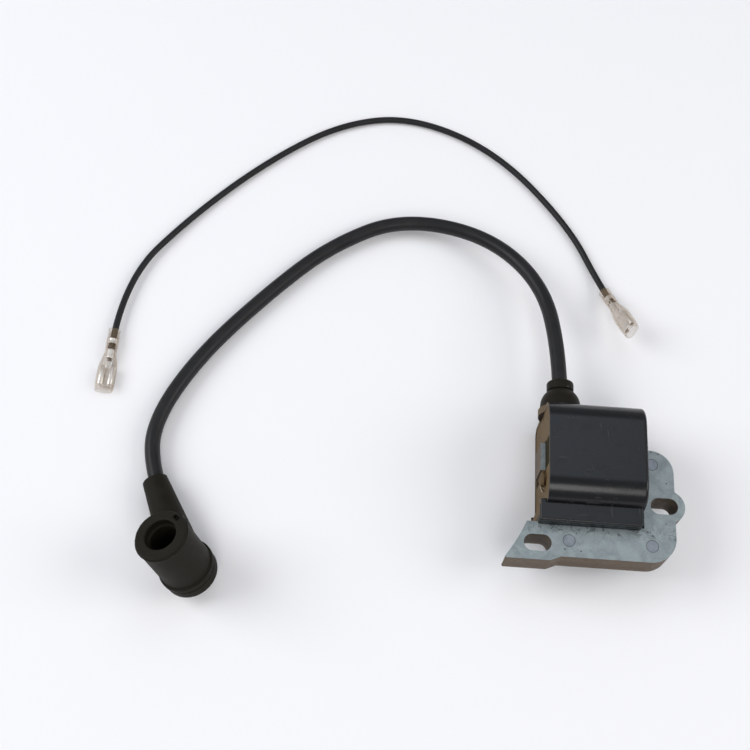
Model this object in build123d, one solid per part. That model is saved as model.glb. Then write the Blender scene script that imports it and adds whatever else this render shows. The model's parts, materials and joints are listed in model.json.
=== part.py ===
from build123d import *
from math import atan2, cos, degrees, radians, sin, sqrt, tan
import os

# Ignition coil of a small two-stroke engine, lying on a table with its high-tension lead, plug boot
# and loose kill wire. All sizes in millimetres.
# Working axes: X along the core's leg, away from the flywheel; Y along the tower; Z up, table at 0.
# X = 0 is the leg's pole face, Y = 0 the leg's centreline. The last step moves everything so that the
# module's footprint is centred on the row's origin.

# ---------------------------------------------------------------- driving dimensions
# core
SHEET = 0.5                  # thickness of one lamination
SHEETS = 20                  # laminations in the stack
CORE_Z = 10.0                # underside of the stack above the table
POLE_R = 55.0                # circle that both pole faces lie on, the flywheel plus its air gap
LEG_W = 9.0                  # width of the leg inside the coil
WEB_IN = 31.6                # pole face of the leg to the web's inner edge
WEB_OUT = 41.3               # pole face of the leg to the web's outer edge
FOOT_IN = 21.2               # leg's centreline to the foot's inner edge
FOOT_OUT = 31.7              # leg's centreline to the foot's outer edge
TOE_OUT = 33.1               # the same at the toe, where the left slot is
TOE_END = 3.0                # X where the toe's step begins
TOE_STEP = 3.2               # length of the step's slope
CROWN_R = 7.3                # rounded corner between leg and web
HEEL_R = 8.0                 # rounded corner between web and foot
EAR_R = 5.2                  # ear around the right slot
SLOT_W = 5.2                 # mounting slots, clearance for M5
SLOT_L = 8.4
SLOT_A = (-0.9, -27.8)       # centre of the slot in the toe
SLOT_B = (38.0, -13.6)       # centre of the slot in the ear
RIVET_D = 3.6
RIVET_GAP = 0.12             # radial groove around a rivet's flush head
RIVETS = ((8.6, -26.6), (33.9, -26.6), (34.6, -0.2))

# coil case
CASE_X0 = 1.2                # open end of the case
CASE_X1 = 31.3               # closed end
CASE_HALF_Y = 16.8
CASE_H = 30.0
CASE_TOP_R = 7.5
CASE_FOOT_R = 3.0
CASE_END_R = 1.0             # rounded edge around the closed end
WALL = 1.2
FIT = 0.1                    # gap between the case and the core
BAY_X0 = -0.9                # electronics bay in the core's window
BAY_X1 = 30.4
BAY_Y = -22.0                # bay's front wall where it stands over the foot
BAY_HALF_H = 9.6             # bay's half height about the core's middle
BAY_R = 0.6
LINE_W = 0.35                # moulded lines along the bay's front wall
LINE_D = 0.25
POTTING_SINK = 0.15          # resin surface below the case's rim

# high-tension tower and its boot
TOWER_X = 6.9
TOWER_Z = 15.0
FLANGE_R = 7.1
FLANGE_T = 1.2
SPIGOT_R = 4.6
SPIGOT_L = 5.4
LEAD_D = 5.0
BORE_GAP = 0.05              # radial gap of a rubber bore on the lead
SPIKE_R = 0.8

# coil inside the case
BOBBIN_GAP = 0.1
BOBBIN_WALL = 0.8
PRIMARY_T = 1.5
TAPE_T = 0.3
SECTION_FLANGES = 7
SECTION_T = 0.7
SECTION_OUT = 12.0           # half width of the secondary bobbin's flanges
SECONDARY_OUT = 10.9         # half width of the secondary winding
SECONDARY_X0 = 4.2
SECONDARY_X1 = 28.2

# circuit board in the bay
BOARD_L = 24.0
BOARD_H = 14.6
BOARD_T = 1.0
BOARD_X = 15.5
BOARD_Y = -19.4

# kill tab
TAB_W = 4.8
TAB_T = 0.8
TAB_OUT = 6.3
TAB_X = 23.0
TAB_Z = 4.6

# spark-plug boot
PLUG_AT = (-107.1, -39.35, 8.35)  # where the arm's axis meets the barrel's
PLUG_LEAN = 20.3             # barrel's axis from the vertical
PLUG_TURN = 149.0            # direction the barrel leans in
ARM_TURN = 116.62            # direction of the arm, from +X
ARM_DROP = 7.13              # fall of the arm towards its end
ARM_L = 31.67
ARM_END_R = 4.05
ARM_ROOT_R = 6.7
BARREL_R = 8.2
BARREL_L = 19.2
COLLAR_R = 8.5               # thin lip behind the mouth's ring
COLLAR_T = 0.5
RIM_R = 8.85                 # rim around the rear
RIM_FRONT = 0.85             # rim's front edge, from the arm's axis
RIM_T = 1.9
GROOVE_R = 8.1               # groove between the rim and the rear cap
GROOVE_W = 0.6
CAP_R = 8.6                  # rear cap
CAP_L = 6.4                  # arm's axis to the cap's flat end
CAP_ROUND = 2.5
MOUTH_R = 8.0                # raised ring around the mouth
MOUTH_T = 0.9
MOUTH_BORE_R = 4.95
MOUTH_DEPTH = 2.4
PLUG_BORE_R = 4.4            # bore that grips the spark plug
PLUG_BORE_L = 11.0
BORE_LEAD = 0.5              # lead-in cone from the mouth into the bore
SPRING_POCKET_R = 3.6
SPRING_R = 2.7               # to the middle of the spring's wire
SPRING_WIRE = 0.8
SPRING_PITCH = 1.5
SPRING_TURNS = 3
EYELET_R = 1.9
EYELET_AT_R = 6.9            # eyelet's distance from the mouth's axis
EYELET_SIDE = -96.0          # eyelet's place around the mouth
EYELET_SLOT = 2.6            # its slot, along the ring and across it
EYELET_SLOT_W = 1.1
EYELET_DEPTH = 1.4

# cord routes: corner points of the runs, above the table
LEAD_IN_TOWER = 20.0         # Y where the lead's end meets the spike
LEAD_TURN_Y = 38.4
LEAD_ROUTE = (
    (1.7, 67.3, 11.0),
    (-18.0, 87.4, 7.5),
    (-48.3, 93.6, 4.2),
    (-71.9, 81.1, 2.9),
    (-90.0, 63.0, 2.7),
    (-112.5, 35.3, 2.9),
    (-124.8, 9.5, 3.6),
)
ARM_STANDOFF = 3.6           # from the arm's end to the lead's last corner
ARM_INSIDE = 13.4            # length of lead in the arm

WIRE_D = 2.2
WIRE_ROUTE = (
    (-142.6, 62.0, 2.1),
    (-122.5, 90.8, 1.2),
    (-97.3, 117.0, 1.2),
    (-72.0, 135.5, 1.2),
    (-45.7, 140.8, 1.2),
    (-14.1, 127.5, 1.2),
    (12.5, 97.5, 1.2),
    (23.7, 73.0, 1.25),
)
SLEEVE_L = 22.6
SLEEVE_IN = 5.4              # length of insulated wire inside a sleeve
TERM_A_TOP = (-142.8, 42.2, 2.1)     # where the wire enters each sleeve
TERM_A_DIR = (-0.012, -1.0, 0.0)
TERM_B_TOP = (24.8, 70.1, 2.6)
TERM_B_DIR = (0.316, -0.86, 0.399)
TERM_A_ROLL = 0.0            # degrees about its own length; at 0 the rolled edges are on top
TERM_B_ROLL = 240.0

# female receptacle and its clear sleeve
BOX_W = 5.6                  # outside width over the two rolled edges
BOX_H = 2.0
BOX_L = 6.4
BOX_BACK = 2.2               # from the box's mouth to the sleeve's
STRIP_T = 0.35
NECK_W = 2.0
NECK_L = 3.0
BARREL_CRIMP_L = 3.2
CRIMP_GAP = 0.06
SLEEVE_T = 0.35
SLEEVE_MOUTH_W = 6.5
SLEEVE_MOUTH_H = 4.0
SLEEVE_WIRE_R = 2.05
SLEEVE_WIRE_L = 6.0
SLEEVE_TAPER_L = 5.0

CORE_H = SHEET * SHEETS
CORE_MID = CORE_Z + CORE_H / 2
LEAD_R = LEAD_D / 2
WIRE_R = WIRE_D / 2


# ---------------------------------------------------------------- helpers
def box(x0, x1, y0, y1, z0, z1):
    """Box between two corners."""
    return Pos((x0 + x1) / 2, (y0 + y1) / 2, (z0 + z1) / 2) * Box(x1 - x0, y1 - y0, z1 - z0)


def rod(start, direction, radius, length):
    """Round bar from a point along a direction."""
    plane = Plane(origin=start, z_dir=direction)
    return plane * Cylinder(radius, length, align=(Align.CENTER, Align.CENTER, Align.MIN))


def ring_tube(x0, x1, half_y, half_z, wall, corner):
    """Square tube around the leg's axis, from its inner half sizes and its wall."""
    outer = RectangleRounded(2 * (half_y + wall), 2 * (half_z + wall), corner + wall)
    inner = RectangleRounded(2 * half_y, 2 * half_z, corner)
    plane = Plane(origin=(x0, 0, CORE_MID), x_dir=(0, 1, 0), z_dir=(1, 0, 0))
    return extrude(plane * (outer - inner), x1 - x0)


def filleted_route(points):
    """Centreline of a cord: straight runs joined by tangent arcs, and the arcs' radii."""
    corners = [Vector(*p) for p in points]
    bends = []
    for before, corner, after in zip(corners, corners[1:], corners[2:]):
        one = corner - before
        two = after - corner
        turn = radians(one.get_angle(two))
        bends.append(0.45 * min(one.length, two.length) / tan(turn / 2))
    return FilletPolyline(*corners, radius=bends), bends


def cord(name, points, radius):
    """Round tube along a route."""
    path, bends = filleted_route(points)
    tube = sweep(Plane(origin=path @ 0, z_dir=path % 0) * Circle(radius), path=path)
    print(name, "length", round(path.length, 1), "radii", [round(b, 1) for b in bends])
    print(name, "volume over section x length", round(tube.volume / (3.14159265 * radius**2 * path.length), 4))
    return tube


def along(start, direction, distance):
    """Point at a distance from another along a direction."""
    unit = Vector(*direction).normalized()
    return tuple(Vector(*start) + unit * distance)


def heading(turn, rise):
    """Unit direction from its turn about Z and its rise above the table, in degrees."""
    return (cos(radians(turn)) * cos(radians(rise)), sin(radians(turn)) * cos(radians(rise)), sin(radians(rise)))


parts = {}


# ---------------------------------------------------------------- core
def pole_x(y):
    """X of the pole circle at a height on the core's outline."""
    return sqrt(POLE_R**2 - y**2) - POLE_R


def core_outline():
    """Outline of one lamination: leg, web, foot and ear, with both slots and the rivet holes."""
    half = LEG_W / 2
    leg_top = (pole_x(half), half)
    leg_low = (pole_x(half), -half)
    foot_top = (pole_x(FOOT_IN), -FOOT_IN)
    toe_low = (pole_x(TOE_OUT), -TOE_OUT)
    mid_y = (FOOT_IN + TOE_OUT) / 2
    with BuildSketch() as sketch:
        with BuildLine():
            ThreePointArc(leg_top, (0, 0), leg_low)
            Polyline(leg_low, (WEB_IN, -half), (WEB_IN, -FOOT_IN), foot_top)
            ThreePointArc(foot_top, (pole_x(mid_y), -mid_y), toe_low)
            Polyline(
                toe_low,
                (TOE_END, -TOE_OUT),
                (TOE_END + TOE_STEP, -FOOT_OUT),
                (WEB_OUT, -FOOT_OUT),
                (WEB_OUT, half),
                leg_top,
            )
        make_face()
        corners = sketch.vertices()
        fillet(corners.filter_by(lambda v: v.X > WEB_IN + 1 and v.Y > 0), CROWN_R)
        fillet(sketch.vertices().filter_by(lambda v: v.X > WEB_IN + 1 and v.Y < -FOOT_IN), HEEL_R)
        fillet(sketch.vertices().filter_by(lambda v: abs(v.X - TOE_END) < 0.1), 1.5)
        fillet(sketch.vertices().filter_by(lambda v: abs(v.X - TOE_END - TOE_STEP) < 0.1), 1.5)
        fillet(sketch.vertices().filter_by(lambda v: v.X < -8), 0.5)
        with Locations((SLOT_B[0] + 1.2, SLOT_B[1])):
            Circle(EAR_R)
        fillet(sketch.vertices().filter_by(lambda v: abs(v.X - WEB_OUT) < 0.1 and abs(v.Y - SLOT_B[1]) < EAR_R), 0.8)
        with Locations(SLOT_A, SLOT_B):
            SlotOverall(SLOT_L, SLOT_W, mode=Mode.SUBTRACT)
        with Locations(*RIVETS):
            Circle(RIVET_D / 2 + RIVET_GAP, mode=Mode.SUBTRACT)
    return sketch.sketch


outline = core_outline()
parts["core_bottom_sheet"] = extrude(Pos(0, 0, CORE_Z) * outline, SHEET)
parts["core_stack"] = extrude(Pos(0, 0, CORE_Z + SHEET) * outline, CORE_H - 2 * SHEET)
parts["core_top_sheet"] = extrude(Pos(0, 0, CORE_Z + CORE_H - SHEET) * outline, SHEET)
parts["core_rivets"] = Compound(
    [Pos(x, y, CORE_MID) * Cylinder(RIVET_D / 2, CORE_H) for x, y in RIVETS]
)


# ---------------------------------------------------------------- coil case
def case_block(inset, x0, x1):
    """The coil's round-cornered block, inset on every side by a wall."""
    half = CASE_HALF_Y - inset
    block = box(x0, x1, -half, half, inset, CASE_H - inset)
    top = block.edges().filter_by(Axis.X).sort_by(Axis.Z)[-2:]
    block = fillet(top, CASE_TOP_R - inset)
    foot = block.edges().filter_by(Axis.X).sort_by(Axis.Z)[:2]
    return fillet(foot, CASE_FOOT_R - inset)


BAY_Z0 = CORE_MID - BAY_HALF_H
BAY_Z1 = CORE_MID + BAY_HALF_H
leg_room = box(-5, WEB_IN + 2, -LEG_W / 2 - FIT, LEG_W / 2 + FIT, CORE_Z - FIT, CORE_Z + CORE_H + FIT)
foot_room = box(-9, WEB_IN + 2, BAY_Y - 2, -FOOT_IN + FIT, CORE_Z - FIT, CORE_Z + CORE_H + FIT)
tower_axis = (0, 1, 0)

bay = box(BAY_X0, BAY_X1, BAY_Y, -CASE_HALF_Y + 4, BAY_Z0, BAY_Z1)
bay = fillet(bay.edges().filter_by(Axis.X).group_by(Axis.Y)[0], BAY_R)
bay = fillet(bay.edges().filter_by(Axis.Z).filter_by(lambda e: e.center().Y < BAY_Y + 1), BAY_R)
line_z = [CORE_Z + CORE_H + 1.2, CORE_Z + CORE_H + 2.6, CORE_Z - 1.2, CORE_Z - 2.6]
for z in line_z:
    bay -= box(BAY_X0 - 1, BAY_X1 + 1, BAY_Y - 1, BAY_Y + LINE_D, z - LINE_W / 2, z + LINE_W / 2)

cavity = case_block(WALL, CASE_X0 - 5, CASE_X1 - WALL)
bay_cavity = box(
    BAY_X0 - 5, BAY_X1 - WALL, -FOOT_IN + FIT + WALL, -CASE_HALF_Y + 5, BAY_Z0 + WALL, BAY_Z1 - WALL
)
flange_y = CASE_HALF_Y + FLANGE_T
spigot_end = flange_y + SPIGOT_L
tower = rod((TOWER_X, CASE_HALF_Y - WALL, TOWER_Z), tower_axis, FLANGE_R, WALL + FLANGE_T)
tower += rod((TOWER_X, flange_y, TOWER_Z), tower_axis, SPIGOT_R, SPIGOT_L)
tower -= rod((TOWER_X, LEAD_IN_TOWER, TOWER_Z), tower_axis, LEAD_R + BORE_GAP, SPIGOT_L)

shell = case_block(0, CASE_X0, CASE_X1)
shell = fillet(shell.faces().sort_by(Axis.X)[-1].edges(), CASE_END_R)
case = shell + bay
case -= cavity + bay_cavity
case += tower
case -= leg_room + foot_room
case -= rod((TOWER_X, CASE_HALF_Y - 4, TOWER_Z), tower_axis, SPIKE_R, 10)
case -= box(
    TAB_X - TAB_W / 2, TAB_X + TAB_W / 2, CASE_HALF_Y - 3, CASE_HALF_Y + 1, TAB_Z - TAB_T / 2, TAB_Z + TAB_T / 2
)
parts["coil_case"] = case


# ---------------------------------------------------------------- coil
bobbin_y = LEG_W / 2 + BOBBIN_GAP
bobbin_z = CORE_H / 2 + BOBBIN_GAP
face_x = CASE_X0 + POTTING_SINK
primary = ring_tube(face_x, CASE_X1 - WALL - 0.1, bobbin_y, bobbin_z, BOBBIN_WALL, 0.3)
plate = box(face_x, face_x + 1.0, -bobbin_y, bobbin_y, CORE_Z - 7.5, CORE_Z + CORE_H + 7.5)
back_plate = ring_tube(CASE_X1 - WALL - 0.9, CASE_X1 - WALL - 0.1, bobbin_y, bobbin_z, 3.0, 0.3)
primary = primary + (plate - leg_room) + back_plate
parts["primary_bobbin"] = primary
wire_y = bobbin_y + BOBBIN_WALL
wire_z = bobbin_z + BOBBIN_WALL
parts["primary_winding"] = ring_tube(face_x + 1.6, CASE_X1 - WALL - 1.0, wire_y, wire_z, PRIMARY_T, 0.6)
tape_y = wire_y + PRIMARY_T
tape_z = wire_z + PRIMARY_T
parts["insulation_tape"] = ring_tube(SECONDARY_X0 - 0.6, SECONDARY_X1 + 0.6, tape_y, tape_z, TAPE_T, 1.6)
former_y = tape_y + TAPE_T
former_z = tape_z + TAPE_T
former = ring_tube(SECONDARY_X0, SECONDARY_X1, former_y, former_z, BOBBIN_WALL, 1.9)
pitch = (SECONDARY_X1 - SECONDARY_X0 - SECTION_T) / (SECTION_FLANGES - 1)
for i in range(SECTION_FLANGES):
    x = SECONDARY_X0 + i * pitch
    former += ring_tube(x, x + SECTION_T, former_y, former_z, SECTION_OUT - former_y, 1.9)
parts["secondary_bobbin"] = former
sections = []
for i in range(SECTION_FLANGES - 1):
    x = SECONDARY_X0 + i * pitch + SECTION_T
    band_y = former_y + BOBBIN_WALL
    band_z = former_z + BOBBIN_WALL
    sections.append(ring_tube(x, x + pitch - SECTION_T, band_y, band_z, SECONDARY_OUT - band_y, 2.7))
parts["secondary_winding"] = Compound(sections)
parts["tower_spike"] = rod((TOWER_X, SECTION_OUT + 0.3, TOWER_Z), tower_axis, SPIKE_R, LEAD_IN_TOWER - SECTION_OUT - 0.3)


# ---------------------------------------------------------------- circuit board
def legs(x, z, spread, length):
    """Two wire legs of a component, from the board's face."""
    y = BOARD_Y + BOARD_T / 2
    return rod((x - spread, y, z), (0, 1, 0), 0.3, length) + rod((x + spread, y, z), (0, 1, 0), 0.3, length)


def lying_part(x, z, radius, length):
    """Axial component lying along X over its two legs."""
    y = BOARD_Y + BOARD_T / 2 + radius + 0.4
    body = rod((x - length / 2, y, z), (1, 0, 0), radius, length)
    return body + legs(x, z, length / 2 - 0.5, radius + 0.4)


parts["circuit_board"] = Pos(BOARD_X, BOARD_Y, CORE_MID) * Box(BOARD_L, BOARD_T, BOARD_H)
board_face = BOARD_Y + BOARD_T / 2
parts["power_transistor"] = box(21.0, 26.5, board_face, board_face + 3.2, 10.2, 19.6)
parts["trigger_thyristor"] = box(14.6, 18.6, board_face, board_face + 3.0, 15.6, 20.2)
parts["charge_capacitor"] = box(5.0, 10.4, board_face, board_face + 4.2, 14.6, 20.8)
parts["resistors"] = Compound([lying_part(7.6, 9.6, 0.9, 5.6), lying_part(7.6, 12.6, 0.9, 5.6)])
parts["diode"] = lying_part(15.6, 11.6, 1.2, 5.2)

# kill tab and ground wire
parts["kill_tab"] = box(
    TAB_X - TAB_W / 2, TAB_X + TAB_W / 2, CASE_HALF_Y - 3.0, CASE_HALF_Y + TAB_OUT, TAB_Z - TAB_T / 2, TAB_Z + TAB_T / 2
)
ground_path = FilletPolyline(
    (face_x + 1.0, -11.2, 17.6), (0.1, -10.2, 18.4), (0.0, -6.6, 20.2), (face_x + 1.0, -5.6, 20.2), radius=0.55
)
parts["ground_wire"] = sweep(
    Plane(origin=ground_path @ 0, z_dir=ground_path % 0) * Circle(0.4), path=ground_path
)

# ---------------------------------------------------------------- potting
inner_nodes = (
    "primary_bobbin", "primary_winding", "insulation_tape", "secondary_bobbin", "secondary_winding",
    "tower_spike", "circuit_board", "power_transistor", "trigger_thyristor", "charge_capacitor",
    "resistors", "diode", "kill_tab", "ground_wire",
)
sunk = box(face_x, CASE_X1, -40, 40, -5, CASE_H + 5)
bay_sunk = box(BAY_X0 + POTTING_SINK, CASE_X1, -40, -CASE_HALF_Y, -5, CASE_H + 5)
potting = (case_block(WALL, CASE_X0, CASE_X1 - WALL) & sunk) + (bay_cavity & (sunk + bay_sunk))
potting -= leg_room
for node in inner_nodes:
    potting -= parts[node]
potting = potting.solids().sort_by(SortBy.VOLUME)[-1]
parts["potting_resin"] = potting

# ---------------------------------------------------------------- strain-relief boot
boot_y = flange_y
neck_y = boot_y + 6.7
tip_y = boot_y + 9.9
with BuildSketch(Plane.XY) as relief:
    with BuildLine():
        Polyline((LEAD_R + BORE_GAP, tip_y), (3.7, tip_y))
        ThreePointArc((3.7, tip_y), (4.17, tip_y - 0.2), (4.35, tip_y - 0.7))
        Line((4.35, tip_y - 0.7), (4.35, neck_y + 0.7))
        ThreePointArc((4.35, neck_y + 0.7), (4.1, neck_y + 0.15), (3.8, neck_y))
        ThreePointArc((3.8, neck_y), (5.5, boot_y + 4.9), (6.4, boot_y + 2.2))
        Polyline(
            (6.4, boot_y + 2.2),
            (6.6, boot_y),
            (SPIGOT_R, boot_y),
            (SPIGOT_R, spigot_end),
            (LEAD_R + BORE_GAP, spigot_end),
            (LEAD_R + BORE_GAP, tip_y),
        )
    make_face()
parts["strain_relief_boot"] = Pos(TOWER_X, 0, TOWER_Z) * revolve(relief.sketch, Axis.Y)

# ---------------------------------------------------------------- plug boot
barrel_dir = heading(PLUG_TURN, 90 - PLUG_LEAN)
arm_dir = heading(ARM_TURN, -ARM_DROP)
arm_end = along(PLUG_AT, arm_dir, ARM_L)
barrel_plane = Plane(origin=PLUG_AT, x_dir=heading(PLUG_TURN, -PLUG_LEAN), z_dir=barrel_dir)
mouth_top = BARREL_L + MOUTH_T
with BuildSketch(Plane.XZ) as barrel:
    with BuildLine():
        Polyline((0, -CAP_L), (CAP_R - CAP_ROUND, -CAP_L))
        ThreePointArc(
            (CAP_R - CAP_ROUND, -CAP_L),
            (CAP_R - CAP_ROUND * (1 - sin(radians(45))), -CAP_L + CAP_ROUND * (1 - cos(radians(45)))),
            (CAP_R, -CAP_L + CAP_ROUND),
        )
        Polyline(
            (CAP_R, -CAP_L + CAP_ROUND),
            (CAP_R, RIM_FRONT - RIM_T - GROOVE_W),
            (GROOVE_R, RIM_FRONT - RIM_T - GROOVE_W),
            (GROOVE_R, RIM_FRONT - RIM_T),
            (RIM_R, RIM_FRONT - RIM_T),
            (RIM_R, RIM_FRONT),
            (BARREL_R, RIM_FRONT),
            (BARREL_R, BARREL_L - COLLAR_T),
            (COLLAR_R, BARREL_L - COLLAR_T),
            (COLLAR_R, BARREL_L),
            (MOUTH_R, BARREL_L),
            (MOUTH_R, mouth_top),
            (0, mouth_top),
            (0, -CAP_L),
        )
    make_face()
boot = barrel_plane * revolve(barrel.sketch, Axis.Z)
arm_plane = Plane(origin=PLUG_AT, z_dir=arm_dir)
boot += arm_plane * Cone(ARM_ROOT_R, ARM_END_R, ARM_L, align=(Align.CENTER, Align.CENTER, Align.MIN))
eyelet = barrel_plane * Rot(0, 0, EYELET_SIDE) * Pos(EYELET_AT_R, 0, mouth_top)
boot += eyelet * Pos(0, 0, -1.5) * Cylinder(EYELET_R, 3.0)
boot -= eyelet * Pos(0, 0, -EYELET_DEPTH) * extrude(SlotOverall(EYELET_SLOT, EYELET_SLOT_W, rotation=90), 3.0)
bore_top = mouth_top - MOUTH_DEPTH - BORE_LEAD
bore_floor = bore_top - PLUG_BORE_L
for radius, low, high in (
    (MOUTH_BORE_R, mouth_top - MOUTH_DEPTH, mouth_top + 1),
    (PLUG_BORE_R, bore_floor, bore_top),
    (SPRING_POCKET_R, bore_floor - 6.4, mouth_top),
):
    boot -= barrel_plane * Pos(0, 0, (low + high) / 2) * Cylinder(radius, high - low)
boot -= barrel_plane * Pos(0, 0, bore_top + BORE_LEAD / 2) * Cone(PLUG_BORE_R, MOUTH_BORE_R, BORE_LEAD)
boot -= rod(along(arm_end, arm_dir, 1), arm_dir, LEAD_R + 0.35, 0.1)
boot -= rod(along(PLUG_AT, arm_dir, ARM_L - ARM_INSIDE), arm_dir, LEAD_R + BORE_GAP, ARM_INSIDE + 2)
boot -= rod(along(PLUG_AT, arm_dir, SPRING_R), arm_dir, 1.0, ARM_L)
parts["plug_boot"] = boot

spring_low = bore_floor - 5.6
spring_axis = Helix(SPRING_PITCH, SPRING_PITCH * SPRING_TURNS, SPRING_R)
spring = sweep(
    Plane(origin=spring_axis @ 0, z_dir=spring_axis % 0) * Circle(SPRING_WIRE / 2), path=spring_axis
)
parts["plug_spring"] = barrel_plane * Pos(0, 0, spring_low) * spring
pin_from = along(PLUG_AT, arm_dir, SPRING_R + 1.4)
parts["plug_pin"] = rod(pin_from, arm_dir, 0.7, ARM_L - ARM_INSIDE - SPRING_R - 1.4)

# ---------------------------------------------------------------- high-tension lead
lead_points = [(TOWER_X, LEAD_IN_TOWER, TOWER_Z), (TOWER_X, LEAD_TURN_Y, TOWER_Z)]
lead_points += list(LEAD_ROUTE)
lead_points += [along(arm_end, arm_dir, ARM_STANDOFF), along(arm_end, arm_dir, -ARM_INSIDE)]
parts["ht_lead"] = cord("ht_lead", lead_points, LEAD_R)


# ---------------------------------------------------------------- kill wire
def terminal_frame(top, direction, roll):
    """Plane at a sleeve's wire end: Z runs along the wire to the mouth, Y is the box's flat side."""
    toward = Vector(*direction).normalized()
    side = toward.cross(Vector(0, 0, 1)).normalized()
    rolled = side * cos(radians(roll)) + toward.cross(side) * sin(radians(roll))
    return Plane(origin=top, x_dir=rolled, z_dir=toward)


def receptacle():
    """Female receptacle: two crimps, a neck, and a box with two rolled edges open towards the tab."""
    box_z0 = SLEEVE_L - BOX_BACK - BOX_L
    neck_z0 = box_z0 - NECK_L
    crimp_z0 = neck_z0 - BARREL_CRIMP_L
    floor_y = BOX_H / 2
    roll_r = (BOX_H - STRIP_T) / 2
    base = box(-BOX_W / 2 + roll_r, BOX_W / 2 - roll_r, floor_y - STRIP_T, floor_y, box_z0, box_z0 + BOX_L)
    body = base
    for side in (-1, 1):
        x = side * (BOX_W / 2 - roll_r)
        roll = Pos(x, floor_y - roll_r, box_z0 + BOX_L / 2) * Cylinder(roll_r, BOX_L)
        roll -= Pos(x, floor_y - roll_r, box_z0 + BOX_L / 2) * Cylinder(roll_r - STRIP_T, BOX_L + 1)
        roll -= Pos(x - side * roll_r, floor_y - roll_r + 0.05, box_z0 + BOX_L / 2) * Box(
            2 * roll_r, 0.8, BOX_L + 1
        )
        body += roll
    body += box(-NECK_W / 2, NECK_W / 2, floor_y - STRIP_T, floor_y, neck_z0 - 0.2, box_z0 + 0.2)
    bare_r = WIRE_R * 0.62
    for z0, length, radius in (
        (crimp_z0, BARREL_CRIMP_L, bare_r + CRIMP_GAP),
        (SLEEVE_IN - 2.6, 2.2, WIRE_R + CRIMP_GAP),
    ):
        crimp = Pos(0, 0, z0 + length / 2) * Cylinder(radius + STRIP_T, length)
        crimp -= Pos(0, 0, z0 + length / 2) * Cylinder(radius, length + 1)
        crimp -= box(-0.12, 0.12, -3, 0, z0 - 1, z0 + length + 1)
        body += crimp
    bare_out = bare_r + CRIMP_GAP
    wire_out = WIRE_R + CRIMP_GAP
    body += box(-0.6, 0.6, wire_out, wire_out + STRIP_T, SLEEVE_IN - 0.6, SLEEVE_IN + 0.5)
    body += box(-0.6, 0.6, bare_out, wire_out + STRIP_T, SLEEVE_IN + 0.1, SLEEVE_IN + 0.5)
    body += box(-0.6, 0.6, bare_out, floor_y, SLEEVE_IN + 0.1, neck_z0 + 0.2)
    return body


def strands():
    """Bare strand bundle between the insulation's end and the far side of the wire crimp."""
    end = SLEEVE_L - BOX_BACK - BOX_L - NECK_L + 0.9
    return Pos(0, 0, (SLEEVE_IN + end) / 2) * Cylinder(WIRE_R * 0.62, end - SLEEVE_IN)


def sleeve():
    """Clear sleeve: a flat-oval pocket over the box, tapering to a round neck on the wire."""
    taper_z = SLEEVE_WIRE_L + SLEEVE_TAPER_L

    def shell(grow, low, high):
        neck = Circle(SLEEVE_WIRE_R + grow)
        pocket = SlotOverall(SLEEVE_MOUTH_W + 2 * grow, SLEEVE_MOUTH_H + 2 * grow)
        solid = extrude(Pos(0, 0, low) * neck, SLEEVE_WIRE_L - low)
        solid += loft([Pos(0, 0, SLEEVE_WIRE_L) * neck, Pos(0, 0, taper_z) * pocket])
        return solid + extrude(Pos(0, 0, taper_z) * pocket, high - taper_z)

    return shell(0, 0, SLEEVE_L) - shell(-SLEEVE_T, -1, SLEEVE_L + 1)


wire_points = [along(TERM_A_TOP, TERM_A_DIR, SLEEVE_IN)]
wire_points += list(WIRE_ROUTE)
wire_points += [along(TERM_B_TOP, TERM_B_DIR, SLEEVE_IN)]
parts["kill_wire"] = cord("kill_wire", wire_points, WIRE_R)
for letter, top, direction, roll in (
    ("a", TERM_A_TOP, TERM_A_DIR, TERM_A_ROLL),
    ("b", TERM_B_TOP, TERM_B_DIR, TERM_B_ROLL),
):
    frame = terminal_frame(top, direction, roll)
    parts["terminal_" + letter] = frame * receptacle()
    parts["strands_" + letter] = frame * strands()
    parts["sleeve_" + letter] = frame * sleeve()

# ---------------------------------------------------------------- origin and export
loose = {"ht_lead", "plug_boot", "plug_spring", "plug_pin", "kill_wire"}
loose |= {stem + letter for stem in ("terminal_", "strands_", "sleeve_") for letter in "ab"}
extent = Compound([shape for name, shape in parts.items() if name not in loose]).bounding_box()
centre = Pos(-extent.center().X, -extent.center().Y, 0)
print("module centre", round(extent.center().X, 3), round(extent.center().Y, 3), "size", extent.size)

os.makedirs("parts", exist_ok=True)
for name, shape in parts.items():
    export_step(centre * shape, "parts/" + name + ".step")
    print(name, len(shape.solids()), round(shape.volume, 2), shape.bounding_box().min.Z)
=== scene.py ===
"""Looks of a small-engine ignition coil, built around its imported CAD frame."""

import json
import logging
from dataclasses import dataclass, field
from enum import Enum
from math import cos, pi, radians, sin
from typing import Any, Optional, Sequence, Union

import bpy
import numpy as np
from mathutils import Matrix, Vector

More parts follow.
